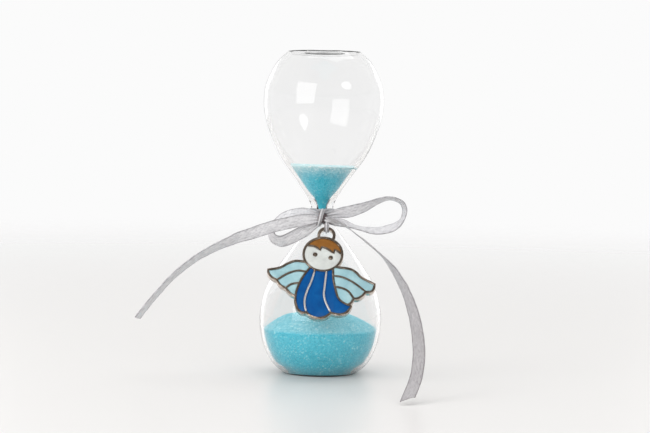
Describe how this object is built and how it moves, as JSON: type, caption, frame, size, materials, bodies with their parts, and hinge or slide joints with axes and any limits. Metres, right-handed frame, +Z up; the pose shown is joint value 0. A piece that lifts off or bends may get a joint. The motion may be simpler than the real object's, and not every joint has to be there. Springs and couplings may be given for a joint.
{
  "type": "hourglass",
  "caption": "Small blown-glass hourglass holding coloured sand, with a ribbon bow at its waist and an enamelled winged charm hanging from the knot.",
  "frame": {"origin": "middle of the flat base, on the surface it stands on", "axes": "+Z up along the glass, front (the charm's side) towards -Y, +X to the right seen from the front"},
  "size_m": [0.0693, 0.0687, 0.08],
  "materials": {
    "clear_glass": "clear blown borosilicate, fire polished",
    "seal_glass": "clear glass disc, ground edge",
    "dyed_sand": "fine dyed sand, matte grains with a few bright ones",
    "grey_ribbon": "sheer woven ribbon, silver grey, soft sheen",
    "plated_zinc": "aged silver plate, worn bright on the raised lines",
    "brown_enamel": "soft enamel, gloss, slightly mottled",
    "white_enamel": "soft enamel, gloss",
    "blue_enamel": "soft enamel, gloss",
    "teal_enamel": "soft enamel, gloss"
  },
  "bodies": {
    "glass": {"glass_body": "clear_glass", "fill_seal": "seal_glass", "upper_sand": "dyed_sand", "lower_sand": "dyed_sand"},
    "bow": {"ribbon_neck_wrap": "grey_ribbon", "ribbon_knot": "grey_ribbon", "ribbon_left_loop": "grey_ribbon", "ribbon_right_loop": "grey_ribbon", "ribbon_left_tail": "grey_ribbon", "ribbon_right_tail": "grey_ribbon"},
    "hanger": {"ribbon_charm_strand": "grey_ribbon"},
    "charm": {"charm_plate": "plated_zinc", "enamel_hair": "brown_enamel", "enamel_face": "white_enamel", "enamel_robe_left": "blue_enamel", "enamel_robe_middle": "blue_enamel", "enamel_robe_right": "blue_enamel", "enamel_left_wing_upper": "teal_enamel", "enamel_left_wing_middle": "teal_enamel", "enamel_left_wing_lower": "teal_enamel", "enamel_right_wing_upper": "teal_enamel", "enamel_right_wing_middle": "teal_enamel", "enamel_right_wing_lower": "teal_enamel"}
  },
  "joints": [
    {"name": "bow_turn", "type": "hinge", "parent": "glass", "child": "bow", "pos_m": [0, 0, 0.0395], "axis": [0, 0, 1], "continuous": true},
    {"name": "charm_swing", "type": "hinge", "parent": "bow", "child": "hanger", "pos_m": [0.0012, -0.0062, 0.0375], "axis": [-1, 0, 0], "range_deg": [0, 45]},
    {"name": "charm_sway", "type": "hinge", "parent": "hanger", "child": "charm", "pos_m": [0.0012, -0.00734, 0.03629], "axis": [0, -0.891, 0.454], "range_deg": [-12, 4]}
  ]
}
